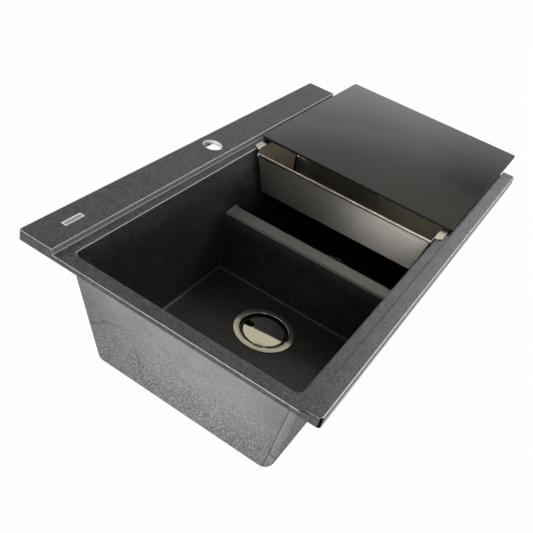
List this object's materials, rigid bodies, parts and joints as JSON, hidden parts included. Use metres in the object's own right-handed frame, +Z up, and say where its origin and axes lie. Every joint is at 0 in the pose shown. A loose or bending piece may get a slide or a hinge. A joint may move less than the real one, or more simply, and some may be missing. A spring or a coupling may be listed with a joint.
{
  "type": "double bowl kitchen sink",
  "caption": "Inset double bowl kitchen sink in dark granite composite with a low divider, sliding glass board, sliding steel tray and basket wastes.",
  "frame": {"origin": "centre of the sink's footprint on the worktop's surface, which is the underside of the rim", "axes": "+Z up, out of the worktop and along the tap hole; +X to the right along the front edge; +Y to the back edge with the tap hole"},
  "size_m": [0.962, 0.5, 0.2915],
  "materials": {
    "granite": "black granite composite, finely speckled, slightly rough",
    "badge_metal": "bright plate, bare",
    "black_glass": "opaque black tempered glass, satin surface",
    "silicone": "soft matt strip",
    "brushed_tray_steel": "brushed along the walls",
    "satin_steel": "satin, turned",
    "polished_steel": "mirror polished stainless steel",
    "screw_steel": "plain stainless steel",
    "gasket_rubber": "matt rubber",
    "black_plastic": "moulded polypropylene",
    "black_plastic_knob": "smooth moulded knob",
    "brass": "turned brass"
  },
  "bodies": {
    "sink": {"sink_body": "granite", "badge_plate": "badge_metal", "left_waste_dish": "satin_steel", "left_upper_gasket": "gasket_rubber", "left_lower_gasket": "gasket_rubber", "left_waste_body": "black_plastic", "left_screw_insert": "brass", "left_clamp_screw": "screw_steel", "right_waste_dish": "satin_steel", "right_upper_gasket": "gasket_rubber", "right_lower_gasket": "gasket_rubber", "right_waste_body": "black_plastic", "right_screw_insert": "brass", "right_clamp_screw": "screw_steel"},
    "board": {"cutting_board": "black_glass", "board_strip_front": "silicone", "board_strip_back": "silicone"},
    "tray": {"tray": "brushed_tray_steel"},
    "left_basket": {"left_strainer_basket": "satin_steel", "left_basket_stem": "black_plastic_knob", "left_plug_seal": "gasket_rubber"},
    "left_cover": {"left_waste_cover": "polished_steel"},
    "right_basket": {"right_strainer_basket": "satin_steel", "right_basket_stem": "black_plastic_knob", "right_plug_seal": "gasket_rubber"},
    "right_cover": {"right_waste_cover": "polished_steel"}
  },
  "joints": [
    {"name": "board_slide", "type": "slide", "parent": "sink", "child": "board", "axis": [1, 0, 0], "range_m": [-0.646, 0.06]},
    {"name": "tray_slide", "type": "slide", "parent": "sink", "child": "tray", "axis": [1, 0, 0], "range_m": [-0.469, 0.16]},
    {"name": "left_basket_lift", "type": "slide", "parent": "sink", "child": "left_basket", "axis": [0, 0, 1], "range_m": [0, 0.065]},
    {"name": "left_cover_lift", "type": "slide", "parent": "left_basket", "child": "left_cover", "axis": [0, 0, 1], "range_m": [0, 0.03]},
    {"name": "right_basket_lift", "type": "slide", "parent": "sink", "child": "right_basket", "axis": [0, 0, 1], "range_m": [0, 0.065]},
    {"name": "right_cover_lift", "type": "slide", "parent": "right_basket", "child": "right_cover", "axis": [0, 0, 1], "range_m": [0, 0.03]}
  ]
}
